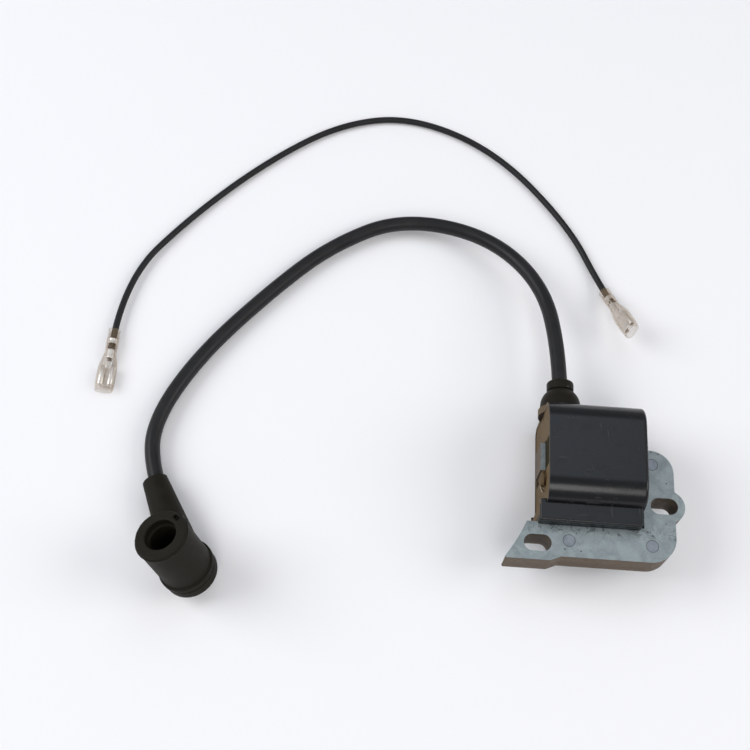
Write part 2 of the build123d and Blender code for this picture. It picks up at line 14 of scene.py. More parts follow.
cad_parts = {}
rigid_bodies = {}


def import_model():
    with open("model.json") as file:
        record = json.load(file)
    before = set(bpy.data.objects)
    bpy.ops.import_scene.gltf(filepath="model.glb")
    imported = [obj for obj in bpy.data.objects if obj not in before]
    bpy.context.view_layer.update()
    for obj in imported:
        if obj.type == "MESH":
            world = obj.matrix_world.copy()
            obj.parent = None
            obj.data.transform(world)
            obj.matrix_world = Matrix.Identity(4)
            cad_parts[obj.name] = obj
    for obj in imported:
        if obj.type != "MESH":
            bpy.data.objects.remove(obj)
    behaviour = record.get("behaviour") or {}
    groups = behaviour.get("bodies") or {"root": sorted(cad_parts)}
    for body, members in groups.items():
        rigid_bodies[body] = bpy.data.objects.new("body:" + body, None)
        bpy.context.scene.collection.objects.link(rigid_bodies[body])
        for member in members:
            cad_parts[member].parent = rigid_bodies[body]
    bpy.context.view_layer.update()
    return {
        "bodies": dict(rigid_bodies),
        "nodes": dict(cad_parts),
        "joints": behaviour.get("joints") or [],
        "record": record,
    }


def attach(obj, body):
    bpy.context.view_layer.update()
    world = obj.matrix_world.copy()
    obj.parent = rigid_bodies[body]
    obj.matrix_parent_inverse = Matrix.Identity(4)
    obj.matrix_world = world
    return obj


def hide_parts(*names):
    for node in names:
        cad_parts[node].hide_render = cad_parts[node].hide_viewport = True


logging.basicConfig(level=logging.INFO, format="%(name)s: %(message)s")
LOG = logging.getLogger("ignition_coil")

MM = 0.001
CENTRE = np.array([16.908, -2.6, 0.0])  # module centre in the CAD's working axes, millimetres

Colour = tuple[float, float, float]
Number = Union[int, float]


# ------------------------------------------------------------------ shader expressions
class Tap:
    """A node socket that Python operators can work on; each operator adds one Math node."""

    def __init__(self, bench: "Bench", socket: bpy.types.NodeSocket) -> None:
        """Keeps the bench that owns the socket, and the socket."""
        self.bench = bench
        self.socket = socket

    def _math(self, operation: str, *values: Union["Tap", Number]) -> "Tap":
        """Adds one Math node.

        Args:
            operation: Name of the Math node's operation.
            values: The node's inputs in order.

        Returns:
            The node's result.
        """
        return self.bench.node("ShaderNodeMath", {"operation": operation}, dict(enumerate(values)))

    def __add__(self, other: Union["Tap", Number]) -> "Tap":
        """Sum."""
        return self._math("ADD", self, other)

    def __radd__(self, other: Number) -> "Tap":
        """Sum with a number on the left."""
        return self._math("ADD", other, self)

    def __sub__(self, other: Union["Tap", Number]) -> "Tap":
        """Difference."""
        return self._math("SUBTRACT", self, other)

    def __rsub__(self, other: Number) -> "Tap":
        """Difference with a number on the left."""
        return self._math("SUBTRACT", other, self)

    def __mul__(self, other: Union["Tap", Number]) -> "Tap":
        """Product."""
        return self._math("MULTIPLY", self, other)

    def __truediv__(self, other: Union["Tap", Number]) -> "Tap":
        """Quotient."""
        return self._math("DIVIDE", self, other)

    def __abs__(self) -> "Tap":
        """Absolute value."""
        return self._math("ABSOLUTE", self)

    def __pow__(self, power: Number) -> "Tap":
        """Power."""
        return self._math("POWER", self, power)

    def part(self) -> "Tap":
        """Fraction left after the whole number is taken off."""
        return self._math("FRACT", self)

    def whole(self) -> "Tap":
        """Whole number below the value."""
        return self._math("FLOOR", self)

    def wave(self) -> "Tap":
        """Sine of the value."""
        return self._math("SINE", self)

    def least(self, other: Union["Tap", Number]) -> "Tap":
        """The smaller of two values."""
        return self._math("MINIMUM", self, other)

    def ease(self, low: Number, high: Number) -> "Tap":
        """Smooth step from 0 at low to 1 at high."""
        return self.bench.node(
            "ShaderNodeMapRange",
            {"interpolation_type": "SMOOTHSTEP"},
            {"Value": self, "From Min": low, "From Max": high},
        )


class Bench:
    """One material under work: its node tree, its shader and its coordinates."""

    def __init__(self, name: str) -> None:
        """Makes the material with one Principled shader.

        Args:
            name: Name of the finish.
        """
        self.material = bpy.data.materials.new(name)
        self.material.use_nodes = True
        self.tree = self.material.node_tree
        self.shader = self.tree.nodes["Principled BSDF"]
        self._coords: Optional[Tap] = None

    def node(
        self,
        kind: str,
        settings: Optional[dict[str, Any]] = None,
        sockets: Optional[dict[Union[str, int], Any]] = None,
        out: Union[str, int] = 0,
    ) -> Tap:
        """Adds any node: settings first, then the values or links of its sockets.

        Args:
            kind: The node's type.
            settings: Attributes of the node.
            sockets: Values, colours or taps by input name or number.
            out: Output to hand back.

        Returns:
            The chosen output.
        """
        made = self.tree.nodes.new(kind)
        for key, value in (settings or {}).items():
            setattr(made, key, value)
        for key, value in (sockets or {}).items():
            self.feed(made.inputs[key], value)
        return Tap(self, made.outputs[out])

    def feed(self, socket: bpy.types.NodeSocket, value: Any) -> None:
        """Links a tap to a socket, or sets the socket's own value."""
        if isinstance(value, Tap):
            self.tree.links.new(value.socket, socket)
        elif isinstance(value, tuple) and len(value) == 3 and len(socket.default_value) == 4:
            socket.default_value = (*value, 1.0)
        else:
            socket.default_value = value

    def set(self, **values: Any) -> None:
        """Feeds the shader's sockets; underscores in a name stand for spaces."""
        for name, value in values.items():
            self.feed(self.shader.inputs[name.replace("_", " ")], value)

    @property
    def coords(self) -> Tap:
        """Object coordinates, in metres."""
        if self._coords is None:
            self._coords = self.node("ShaderNodeTexCoord", out="Object")
        return self._coords

    def axis(self, name: str) -> Tap:
        """One coordinate, X, Y or Z, in metres."""
        return self.node("ShaderNodeSeparateXYZ", None, {0: self.coords}, name)

    def facing_open_end(self) -> Tap:
        """1 on faces that look along -X, 0 on the others."""
        normal = self.node("ShaderNodeNewGeometry", out="Normal")
        return (self.node("ShaderNodeSeparateXYZ", None, {0: normal}, "X") * -1.0).ease(0.6, 0.8)

    def upward(self) -> Tap:
        """How far the face points up or down: 1 on a level face, 0 on a wall."""
        normal = self.node("ShaderNodeNewGeometry", out="Normal")
        return abs(self.node("ShaderNodeSeparateXYZ", None, {0: normal}, "Z"))

    def grain(
        self, size_mm: float, detail: float = 3.0, stretch: Sequence[float] = (1, 1, 1), warp: float = 0.0
    ) -> Tap:
        """Cloudy noise.

        Args:
            size_mm: Size of a blotch.
            detail: Octaves of the noise.
            stretch: Squeeze of the pattern along each axis.
            warp: Distortion of the noise.

        Returns:
            Values around 0.5.
        """
        place = self.node("ShaderNodeMapping", None, {"Vector": self.coords, "Scale": tuple(stretch)})
        sockets = {"Vector": place, "Scale": 1.0 / (size_mm * MM), "Detail": detail, "Roughness": 0.55}
        return self.node("ShaderNodeTexNoise", {"normalize": True}, {**sockets, "Distortion": warp})

    def specks(self, spacing_mm: float, radius: float, seed: float = 0.0) -> Tap:
        """Small round spots, one in each Voronoi cell.

        Args:
            spacing_mm: Distance between spots.
            radius: Spot radius as a share of the spacing.
            seed: Shift of the pattern.

        Returns:
            1 inside a spot, 0 outside.
        """
        shift = (seed, seed * 0.7, seed * 1.3)
        place = self.node("ShaderNodeMapping", None, {"Vector": self.coords, "Location": shift})
        sockets = {"Vector": place, "Scale": 1.0 / (spacing_mm * MM)}
        distance = self.node("ShaderNodeTexVoronoi", {"feature": "F1"}, sockets, "Distance")
        return 1.0 - distance.ease(radius * 0.6, radius)

    def blend(self, share: Union[Tap, float], low: Union[Tap, Colour], high: Union[Tap, Colour]) -> Tap:
        """Mix of two colours."""
        return self.node("ShaderNodeMix", {"data_type": "RGBA"}, {0: share, 6: low, 7: high}, 2)

    def relief(self, height: Tap, depth_mm: float) -> Tap:
        """Bump from a height.

        Args:
            height: Height between 0 and 1.
            depth_mm: Real depth of the full height.

        Returns:
            A normal for the shader.
        """
        return self.node(
            "ShaderNodeBump", None, {"Distance": depth_mm * MM, "Height": height}, "Normal"
        )


# ------------------------------------------------------------------ finishes
@dataclass(frozen=True)
class ZincPlate:
    """Grey zinc on stamped sheet: mottled and pitted, with a dark blotchy strip beside the case, and walls in a
    painted brown reflection of the table.
    """

    name: str
    light: Colour = (0.345, 0.395, 0.405)
    dark: Colour = (0.225, 0.265, 0.280)
    # painted reflection: the brown of the table as the sheet's walls reflect it
    edge: Colour = (0.075, 0.050, 0.030)
    dark_strip_at: float = 0.0200  # metres on the -Y side of the module's centre

    def build(self) -> bpy.types.Material:
        """Makes the material."""
        bench = Bench(self.name)
        cloud = bench.grain(4.0, 4.0, warp=0.6).ease(0.3, 0.7)
        fine = bench.grain(0.5, 3.0).ease(0.25, 0.75)
        tone = bench.blend(cloud * 0.7 + fine * 0.3, self.dark, self.light)
        pits = bench.specks(2.2, 0.14) * bench.grain(6.0, 1.0).ease(0.46, 0.54)
        # a darker blotchy strip on the sheet along the foot of the case, its place set by the field above
        dark_strip_y = bench.axis("Y")
        strip = 1.0 - abs(dark_strip_y + self.dark_strip_at).ease(0.0006, 0.0026)
        strip = strip * bench.grain(2.2, 4.0, warp=1.5).ease(0.46, 0.7)
        rust = bench.grain(1.2, 4.0).ease(0.62, 0.74) * 0.35
        marks = (pits * 0.8 + strip * 0.75 + rust * 0.3).least(1.0)
        worn = bench.blend(marks, tone, (0.035, 0.036, 0.036))
        # level faces get the zinc; walls get the painted brown reflection of the table
        level = bench.upward().ease(0.35, 0.8)
        wall = bench.blend(bench.grain(0.9, 3.0).ease(0.3, 0.7), self.edge, tuple(1.6 * c for c in self.edge))
        bench.set(
            Base_Color=bench.blend(level, wall, worn),
            Metallic=level * 0.45 + 0.1,
            Roughness=0.62 - cloud * 0.14 + marks * 0.15,
            Normal=bench.relief(fine * 0.6 - pits * 1.5 + cloud * 0.4, 0.04),
        )
        return bench.material


@dataclass(frozen=True)
class SheetEdge:
    """Cut edges of the stacked laminations: one thin dark line between each sheet and the next, on a brown that
    is a painted reflection of the table.
    """

    name: str
    # painted reflection: this brown is the table seen in the steel edges
    tone: Colour = (0.082, 0.052, 0.026)
    sheet_mm: float = 0.5

    def build(self) -> bpy.types.Material:
        """Makes the material."""
        bench = Bench(self.name)
        sheet = bench.axis("Z") / (self.sheet_mm * MM)
        line = 1.0 - abs(sheet.part() - 0.5).ease(0.36, 0.5)
        shade = (sheet.whole() * 12.9898).wave() * 0.5 + 0.5
        streak = bench.grain(1.2, 3.0, (1, 1, 6)).ease(0.3, 0.75)
        # the brown base is the painted reflection of the table, varied per sheet and by streaks
        base = bench.blend(shade * 0.45 + streak * 0.55, self.tone, (0.135, 0.090, 0.050))
        bench.set(
            Base_Color=bench.blend(line, (0.03, 0.02, 0.014), base),
            Metallic=0.3,
            Roughness=0.6 - streak * 0.12,
            Normal=bench.relief(line * 0.7 + streak * 0.3, 0.05),
        )
        return bench.material


@dataclass(frozen=True)
class GlossCase:
    """Glossy black moulded plastic with hairline scratches, scuffs and a little dust; faces turned to -X carry a
    painted brown reflection of the table.
    """

    name: str
    body: Colour = (0.0042, 0.0046, 0.0058)
    # painted reflection: the brown of the table on the case's faces turned to -X
    rim: Colour = (0.016, 0.012, 0.007)
    resin_film: Colour = (0.12, 0.082, 0.042)

    def build(self) -> bpy.types.Material:
        """Makes the material."""
        bench = Bench(self.name)
        patch = bench.grain(6.0, 2.0).ease(0.5, 0.68)
        scratch_a = bench.grain(1.0, 1.0, (0.08, 1.6, 0.3), 0.4).ease(0.66, 0.72)
        scratch_b = bench.grain(1.0, 1.0, (1.3, 0.1, 0.3), 0.7).ease(0.68, 0.74)
        scuff = bench.grain(0.35, 2.0).ease(0.62, 0.76) * patch
        scratches = ((scratch_a + scratch_b) * patch).least(1.0)
        dust = bench.specks(1.9, 0.06, 3.0)
        wear = (scratches * 0.35 + scuff * 0.3 + dust * 0.35).least(1.0)
        peel = bench.grain(1.4, 2.0)
        open_end = bench.facing_open_end()
        below_roof = 1.0 - bench.axis("Z").ease(0.0255, 0.0285)
        film = open_end * below_roof * bench.axis("Y").ease(-0.0146, -0.0140)
        tone = bench.blend(wear * 0.7, self.body, (0.16, 0.17, 0.185))
        # faces turned to -X take the painted brown reflection of the table
        tone = bench.blend(open_end, tone, self.rim)
        bench.set(
            Base_Color=bench.blend(film, tone, self.resin_film),
            Specular_IOR_Level=0.42,
            Roughness=0.25 + patch * 0.05 + wear * 0.3 + open_end * 0.4,
            Normal=bench.relief(peel * 0.5 - scratches * 0.6, 0.02),
        )
        return bench.material


@dataclass(frozen=True)
class PottingResin:
    """Poured tan resin: faint clouds, small bubbles and a slightly wavy skin."""

    name: str
    tone: Colour = (0.155, 0.098, 0.040)

    def build(self) -> bpy.types.Material:
        """Makes the material."""
        bench = Bench(self.name)
        cloud = bench.grain(3.0, 4.0, warp=1.0).ease(0.3, 0.7)
        bubbles = bench.specks(1.6, 0.12, 1.0)
        tone = bench.blend(cloud, tuple(0.62 * c for c in self.tone), self.tone)
        bench.set(
            Base_Color=bench.blend(bubbles * 0.7, tone, (0.05, 0.036, 0.02)),
            Specular_IOR_Level=0.2,
            Roughness=0.55 + cloud * 0.2,
            Normal=bench.relief(cloud - bubbles * 0.8, 0.12),
        )
        return bench.material


@dataclass(frozen=True)
class Rubber:
    """Moulded black-brown rubber: dull, finely grained, with pale dust in places."""

    name: str
    tone: Colour = (0.0115, 0.0098, 0.0062)
    bloom: Colour = (0.0185, 0.0160, 0.0115)
    roughness: float = 0.55
    gloss: float = 0.12

    def build(self) -> bpy.types.Material:
        """Makes the material."""
        bench = Bench(self.name)
        cloud = bench.grain(5.0, 3.0, warp=0.5).ease(0.35, 0.7)
        skin = bench.grain(0.22, 3.0)
        dust = bench.specks(2.7, 0.055, 2.0) * bench.grain(9.0, 1.0).ease(0.5, 0.58)
        tone = bench.blend(cloud * 0.6, self.tone, self.bloom)
        bench.set(
            Base_Color=bench.blend(dust * 0.8, tone, (0.35, 0.34, 0.31)),
            Specular_IOR_Level=self.gloss,
            Roughness=self.roughness + cloud * 0.12 + dust * 0.2,
            Normal=bench.relief(skin * 0.8 + cloud * 0.2, 0.025),
        )
        return bench.material


@dataclass(frozen=True)
class LeadJacket:
    """Smooth extruded sheath of a lead, with faint clouding and a fine grain."""

    name: str
    tone: Colour = (0.007, 0.007, 0.0075)
    roughness: float = 0.38

    def build(self) -> bpy.types.Material:
        """Makes the material."""
        bench = Bench(self.name)
        cloud = bench.grain(6.0, 3.0).ease(0.35, 0.7)
        fine = bench.grain(0.35, 2.0).ease(0.3, 0.8)
        bench.set(
            Base_Color=bench.blend(cloud * 0.6 + fine * 0.2, self.tone, (0.014, 0.014, 0.016)),
            Specular_IOR_Level=0.3,
            Roughness=self.roughness + cloud * 0.1 + fine * 0.05,
            Normal=bench.relief(fine, 0.015),
        )
        return bench.material


@dataclass(frozen=True)
class PlatedMetal:
    """Bright plated metal: tin, steel wire or brass, with soft tarnish."""

    name: str
    tone: Colour = (0.93, 0.92, 0.90)
    tarnish: Colour = (0.66, 0.60, 0.52)
    roughness: float = 0.3

    def build(self) -> bpy.types.Material:
        """Makes the material."""
        bench = Bench(self.name)
        cloud = bench.grain(1.6, 3.0, warp=0.5).ease(0.4, 0.75)
        fine = bench.grain(0.15, 2.0)
        bench.set(
            Base_Color=bench.blend(cloud * 0.5, self.tone, self.tarnish),
            Metallic=0.95,
            Roughness=self.roughness + cloud * 0.16,
            Normal=bench.relief(fine, 0.006),
        )
        return bench.material


@dataclass(frozen=True)
class ClearSleeve:
    """Clear soft sleeve with a warm tan cast, milky where it is handled."""

    name: str
    tone: Colour = (0.44, 0.31, 0.18)
    opacity: float = 0.085

    def build(self) -> bpy.types.Material:
        """Makes the material."""
        bench = Bench(self.name)
        cloud = bench.grain(2.6, 2.0, warp=0.5).ease(0.4, 0.75)
        ripple = bench.grain(1.6, 1.0)
        rim = bench.node("ShaderNodeLayerWeight", None, {"Blend": 0.35}, "Facing")
        bench.set(
            Base_Color=bench.blend(cloud, self.tone, tuple(min(1.0, 1.15 * c) for c in self.tone)),
            Alpha=cloud * 0.04 + self.opacity + rim**2 * 0.75,
            Roughness=0.14 + cloud * 0.1,
            Normal=bench.relief(ripple, 0.04),
        )
        return bench.material


@dataclass(frozen=True)
class WoundWire:
    """Layer of enamelled wire: fine ridges around the core's leg, each turn with painted shade darkening towards
    the grooves between turns.
    """

    name: str
    tone: Colour = (0.42, 0.16, 0.055)
    pitch_mm: float = 0.3

    def build(self) -> bpy.types.Material:
        """Makes the material."""
        bench = Bench(self.name)
        turn = (bench.axis("X") / (self.pitch_mm * MM)).part()
        ridge = 1.0 - (abs(turn - 0.5) * 2.0) ** 2
        cloud = bench.grain(3.0, 2.0).ease(0.3, 0.7)
        tone = bench.blend(cloud, tuple(0.6 * c for c in self.tone), self.tone)
        bench.set(
            # painted shade: each turn's colour darkens towards the grooves between turns
            Base_Color=bench.blend(ridge, tuple(0.2 * c for c in self.tone), tone),
            Metallic=0.7,
            Roughness=0.34 + cloud * 0.1,
            Normal=bench.relief(ridge, self.pitch_mm * 0.4),
        )
        return bench.material


@dataclass(frozen=True)
class Moulding:
    """Plain moulded or lacquered part with slight clouding and a fine skin."""

    name: str
    tone: Colour
    second: Colour
    blotch_mm: float = 2.5
    roughness: float = 0.45
    bands_mm: float = 0.0
    gloss: float = 0.5

    def build(self) -> bpy.types.Material:
        """Makes the material, with colour bands along X where bands_mm is given."""
        bench = Bench(self.name)
        cloud = bench.grain(self.blotch_mm, 3.0).ease(0.3, 0.7)
        fine = bench.grain(0.3, 2.0)
        tone = bench.blend(cloud, self.tone, self.second)
        if self.bands_mm > 0:
            band = (bench.axis("X") / (self.bands_mm * MM)).part().ease(0.62, 0.66)
            tone = bench.blend(band * 0.85, tone, tuple(0.25 * c for c in self.second))
        bench.set(
            Base_Color=tone,
            Specular_IOR_Level=self.gloss,
            Roughness=self.roughness + cloud * 0.1,
            Normal=bench.relief(fine, 0.02),
        )
        return bench.material


@dataclass(frozen=True)
class PaleFloor:
    """Plain pale table."""

    name: str = "pale_floor"

    def build(self) -> bpy.types.Material:
        """Makes the material."""
        bench = Bench(self.name)
        bench.set(Base_Color=(0.93, 0.925, 0.94), Roughness=0.9)
        return bench.material


# ------------------------------------------------------------------ mesh helpers
def signed_volume(points: np.ndarray, quads: np.ndarray) -> float:
    """Volume inside quads, by the sum of the tetrahedra from the origin to each half quad."""
    a, b, c, d = (points[quads[:, k]] for k in range(4))
    halves = np.einsum("ij,ij->i", a, np.cross(b, c)) + np.einsum("ij,ij->i", a, np.cross(c, d))
    return float(halves.sum() / 6)


def grid_quads(rows: int, columns: int, loop_rows: bool, loop_columns: bool, start: int = 0) -> np.ndarray:
    """Quads of a grid whose point (i, j) is number start + i * columns + j.

    Args:
        rows: Points along the first parameter.
        columns: Points along the second parameter.
        loop_rows: Whether the last row joins the first.
        loop_columns: Whether the last column joins the first.
        start: Number of the grid's first point.

    Returns:
        An array of four point numbers per quad.
    """
    along = np.arange(rows if loop_rows else rows - 1)
    across = np.arange(columns if loop_columns else columns - 1)
    i, j = np.meshgrid(along, across, indexing="ij")
    up, right = (i + 1) % rows, (j + 1) % columns
    corners = (i * columns + j, i * columns + right, up * columns + right, up * columns + j)
    return start + np.stack([c.ravel() for c in corners], axis=1)


def add_mesh(
    name: str, points: np.ndarray, faces: Sequence[Sequence[int]], smooth: bool = True
) -> bpy.types.Object:
    """Makes a mesh object at the origin.

    Args:
        name: Name of the piece.
        points: Points in metres in the row's frame.
        faces: Point numbers of each face.
        smooth: Whether its faces are shaded smooth.

    Returns:
        The new object.
    """
    mesh = bpy.data.meshes.new(name)
    mesh.from_pydata(points.tolist(), [], [list(map(int, f)) for f in faces])
    mesh.validate()
    if smooth:
        mesh.shade_smooth()
    piece = bpy.data.objects.new(name, mesh)
    bpy.context.collection.objects.link(piece)
    return piece


@dataclass(frozen=True)
class Seat:
    """A local frame: origin in millimetres of the row, and three unit axes."""

    origin: np.ndarray
    x: np.ndarray
    y: np.ndarray
    z: np.ndarray

    def place(self, local: np.ndarray) -> np.ndarray:
        """Takes local points in millimetres to metres in the row's frame."""
        return (self.origin + local[:, :1] * self.x + local[:, 1:2] * self.y + local[:, 2:3] * self.z) * MM


@dataclass
class Shell:
    """Closed surfaces collected into one mesh."""

    points: list[np.ndarray] = field(default_factory=list)
    faces: list[Sequence[int]] = field(default_factory=list)
    count: int = 0

    def add_loft(self, rings: np.ndarray) -> None:
        """Adds a closed skin over a stack of rings with a cap on each end.

        Point (i, j) of the grid is point j of ring i; each cap is one face on the end ring.

        Args:
            rings: Array of shape (rings, points on a ring, 3), in millimetres.
        """
        rows, columns = rings.shape[:2]
        flat = rings.reshape(-1, 3)
        quads = grid_quads(rows, columns, False, True)
        first, last = np.arange(columns)[::-1], (rows - 1) * columns + np.arange(columns)
        centre = flat.mean(0)
        if signed_volume(flat - centre, quads) < 0:
            quads, first, last = quads[:, ::-1], first[::-1], last[::-1]
        self._take(flat, [*quads.tolist(), first.tolist(), last.tolist()])

    def add_wall(self, rings: np.ndarray) -> None:
        """Adds a skin closed both ways, such as a tube with a wall.

        Args:
            rings: Array of shape (points along the wall's outline, points around, 3), in millimetres.
        """
        rows, columns = rings.shape[:2]
        flat = rings.reshape(-1, 3)
        quads = grid_quads(rows, columns, True, True)
        if signed_volume(flat - flat.mean(0), quads) < 0:
            quads = quads[:, ::-1]
        self._take(flat, quads.tolist())

    def _take(self, flat: np.ndarray, faces: Sequence[Sequence[int]]) -> None:
        """Adds points and faces, renumbered."""
        self.points.append(flat)
        self.faces += [[k + self.count for k in face] for face in faces]
        self.count += len(flat)

    def build(self, name: str, seat: Seat, smooth: bool = True) -> bpy.types.Object:
        """Makes the mesh object in a seat."""
        return add_mesh(name, seat.place(np.concatenate(self.points)), self.faces, smooth)


def row_seat(origin: Sequence[float] = (0, 0, 0)) -> Seat:
    """Seat along the row's axes, its origin given in the CAD's working axes."""
    return Seat(np.array(origin, float) - CENTRE, *np.eye(3))


def tube_rings(path: np.ndarray, radius: Union[float, np.ndarray], around: int) -> np.ndarray:
    """Rings of a round tube along a path.

    Each ring is centre + radius * (cos a * n + sin a * b), with n and b square to the path's tangent.

    Args:
        path: Points of the centreline.
        radius: Radius, one or one for each point.
        around: Points on a ring.

    Returns:
        Array of shape (points of the path, around, 3).
    """
    tangent = np.gradient(path, axis=0)
    tangent /= np.linalg.norm(tangent, axis=1, keepdims=True)
    side = np.cross(tangent, np.array([0.31, 0.22, 0.92]))
    side /= np.linalg.norm(side, axis=1, keepdims=True)
    other = np.cross(tangent, side)
    angle = np.linspace(0, 2 * pi, around, endpoint=False)
    reach = np.broadcast_to(np.asarray(radius, float), (len(path),))[:, None, None]
    turn = np.cos(angle)[None, :, None] * side[:, None] + np.sin(angle)[None, :, None] * other[:, None]
    return path[:, None] + reach * turn


def dress(piece: bpy.types.Object, material: bpy.types.Material) -> None:
    """Gives a piece one material on all its slots."""
    if not piece.data.materials:
        piece.data.materials.append(material)
    for slot in piece.material_slots:
        slot.material = material


# ------------------------------------------------------------------ cords
class Lie(Enum):
    """How a free cord ends."""

    PLUG = "plug"
    CONNECTOR = "connector"


@dataclass
class FreeCord:
    """A free cord: one smooth spline through its route's control points."""

    name: str
    node: str
    body: str
    route: Sequence[Sequence[float]]
    diameter: float
    length: float
    end: Lie
    stiffness: str
    with_nodes: Sequence[str]

    def build(self, finish: LeadJacket, with_pieces: Sequence[bpy.types.Object]) -> bpy.types.Object:
        """Args:
            finish: Its sheath.
            with_pieces: New pieces that are on it; not used.

        Returns:
            The curve object.
        """
        curve = bpy.data.curves.new(self.name, "CURVE")
        curve.dimensions = "3D"
        spline = curve.splines.new("NURBS")
        spline.points.add(len(self.route) - 1)
        control = np.c_[(np.array(self.route) - CENTRE) * MM, np.ones(len(self.route))]
        spline.points.foreach_set("co", control.ravel())
        spline.order_u = 3
        spline.use_endpoint_u = True
        spline.resolution_u = 24
        curve.bevel_depth = self.diameter * MM / 2
        curve.bevel_resolution = 8
        curve.use_fill_caps = True
        piece = bpy.data.objects.new(self.name, curve)
        bpy.context.collection.objects.link(piece)
        piece.data.materials.append(finish.build())
        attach(piece, self.body)
        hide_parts(self.node)
        LOG.info("cord %s on %s", self.name, self.body)
        return piece


# ------------------------------------------------------------------ sub-assemblies
@dataclass
class CoreStack:
    """Laminated core: plated outer sheets, cut edges and flush rivets."""

    sheets: tuple[str, ...] = ("core_top_sheet", "core_bottom_sheet")

    def dress(self) -> None:
        """Finishes the CAD nodes of the core."""
        plate = ZincPlate("zinc_plate").build()
        for node in self.sheets:
            dress(FRAME["nodes"][node], plate)
        dress(FRAME["nodes"]["core_stack"], SheetEdge("sheet_edges").build())
        rivet = ZincPlate("rivet_zinc", light=(0.30, 0.33, 0.37), dark=(0.20, 0.225, 0.26)).build()
        dress(FRAME["nodes"]["core_rivets"], rivet)
        LOG.info("core dressed")


@dataclass
class CoilCase:
    """Case with its resin, coil, circuit board and ground wire."""

    lump_at: tuple[float, float, float] = (0.75, -7.6, 20.0)
    lump_size: tuple[float, float, float] = (1.3, 2.6, 2.1)
    wire_route: tuple[tuple[float, float, float], ...] = (
        (2.2, -11.2, 17.6),
        (0.6, -10.6, 18.0),
        (0.0, -9.2, 19.0),
        (-0.1, -7.4, 20.0),
        (0.1, -6.2, 20.3),
        (2.2, -5.6, 20.2),
    )

    def ground_lump(self) -> bpy.types.Object:
        """Lump of resin and solder over the ground wire.

        A ball with radius 1 plus two waves of its two angles, squeezed to three half sizes.

        Returns:
            The lump.
        """
        theta = np.linspace(0.02, pi - 0.02, 30)[:, None]
        phi = np.linspace(0, 2 * pi, 44, endpoint=False)[None, :]
        slow = 0.13 * np.sin(3 * phi + 2 * theta) * np.sin(theta)
        quick = 0.09 * np.sin(5 * phi - 4 * theta) * np.sin(theta)
        swell = 1 + slow + quick
        x, y = swell * np.sin(theta) * np.cos(phi), swell * np.sin(theta) * np.sin(phi)
        ball = np.stack([x, y, swell * np.cos(theta) + 0 * phi], axis=-1)
        shell = Shell()
        shell.add_loft(ball * np.array(self.lump_size))
        lump = shell.build("ground_lump", row_seat(self.lump_at))
        lump.data.materials.append(PottingResin("lump_resin", (0.13, 0.085, 0.042)).build())
        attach(lump, "module")
        return lump

    def ground_wire(self) -> bpy.types.Object:
        """Two bare strands twisted around each other from the resin to the leg.

        The strands' middles are the path plus 0.22 mm turned by the length along it.

        Returns:
            The wire.
        """
        knots = np.array(self.wire_route)
        t = np.linspace(0, len(knots) - 1, 90)
        path = np.stack([np.interp(t, np.arange(len(knots)), knots[:, k]) for k in range(3)], axis=1)
        window = np.ones(17) / 17
        padded = np.pad(path, ((8, 8), (0, 0)), mode="edge")
        soft = np.array([np.convolve(padded[:, k], window, "valid") for k in range(3)]).T
        shell = Shell()
        for phase in (0.0, pi):
            turn = t * 3.4 + phase
            strand = soft + 0.22 * np.stack([0 * t, np.cos(turn), np.sin(turn)], axis=1)
            shell.add_loft(tube_rings(strand, 0.24, 10))
        wire = shell.build("ground_strands", row_seat())
        copper = PlatedMetal("tinned_copper", (0.50, 0.44, 0.36), (0.22, 0.17, 0.12), 0.34)
        wire.data.materials.append(copper.build())
        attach(wire, "module")
        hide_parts("ground_wire")
        return wire

    def dress(self) -> None:
        """Finishes the case, the resin and the sealed pieces."""
        finishes = {
            "coil_case": GlossCase("gloss_case"),
            "potting_resin": PottingResin("potting_resin"),
            "primary_bobbin": Moulding(
                "olive_bobbin", (0.022, 0.019, 0.010), (0.036, 0.030, 0.015), 1.4, 0.8, gloss=0.05
            ),
            "secondary_bobbin": Moulding("nylon_bobbin", (0.55, 0.52, 0.44), (0.62, 0.60, 0.52)),
            "insulation_tape": Moulding("film_tape", (0.62, 0.44, 0.10), (0.70, 0.52, 0.15), 4.0, 0.3, 5.0),
            "primary_winding": WoundWire("primary_wire"),
            "secondary_winding": WoundWire("secondary_wire", (0.36, 0.13, 0.05), 0.1),
            "tower_spike": PlatedMetal("brass_spike", (0.72, 0.52, 0.22), (0.45, 0.30, 0.12)),
            "circuit_board": Moulding("phenolic_board", (0.32, 0.20, 0.07), (0.40, 0.27, 0.10), 1.5, 0.5, 2.54),
            "power_transistor": Moulding("transistor_epoxy", (0.012, 0.012, 0.013), (0.020, 0.020, 0.021)),
            "trigger_thyristor": Moulding("thyristor_epoxy", (0.014, 0.013, 0.013), (0.024, 0.023, 0.022)),
            "charge_capacitor": Moulding("dipped_capacitor", (0.32, 0.055, 0.02), (0.40, 0.08, 0.03), 1.5, 0.25),
            "resistors": Moulding("resistor_lacquer", (0.50, 0.36, 0.20), (0.58, 0.44, 0.26), 1.5, 0.3, 1.4),
            "diode": Moulding("diode_epoxy", (0.015, 0.015, 0.016), (0.30, 0.30, 0.30), 1.5, 0.35, 2.6),
            "kill_tab": PlatedMetal("tab_tin"),
            "strain_relief_boot": Rubber("relief_rubber", roughness=0.46),
        }
        for node, finish in finishes.items():
            dress(FRAME["nodes"][node], finish.build())
        LOG.info("case and %d sealed pieces dressed", len(finishes) - 1)


